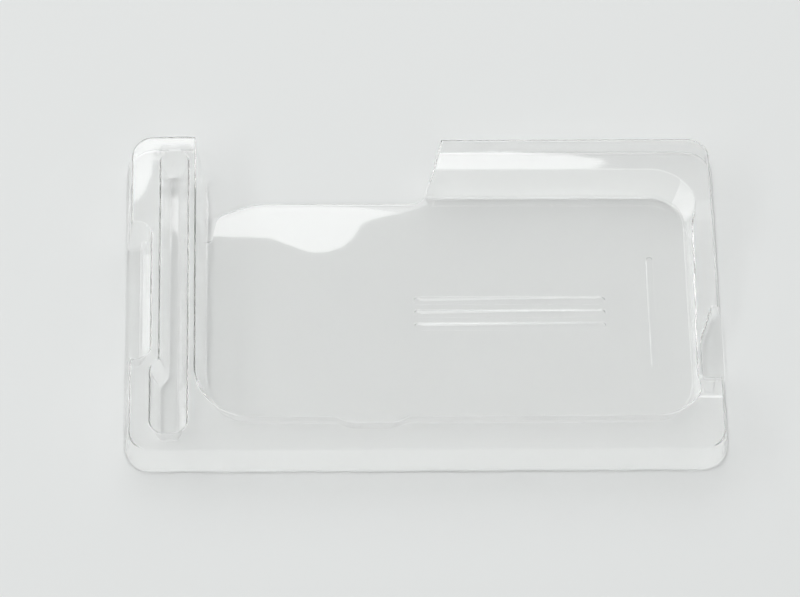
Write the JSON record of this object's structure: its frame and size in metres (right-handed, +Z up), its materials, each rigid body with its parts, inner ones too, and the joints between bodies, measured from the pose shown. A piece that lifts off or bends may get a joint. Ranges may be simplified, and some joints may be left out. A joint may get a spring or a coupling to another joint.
{
  "type": "formed blister tray",
  "caption": "Shallow clear plastic tray formed from one sheet, with a rounded pocket, a side channel, stepped rims and an open back.",
  "frame": {"origin": "middle of the trimmed base, at the height of the underside", "axes": "+X along the length towards the stepped rim, +Y towards the open back, +Z up out of the open face"},
  "size_m": [0.172, 0.1054, 0.0111],
  "materials": {
    "clear_sheet": "clear, glossy thermoformed sheet"
  },
  "bodies": {
    "root": {"blister_tray": "clear_sheet"}
  },
  "joints": []
}
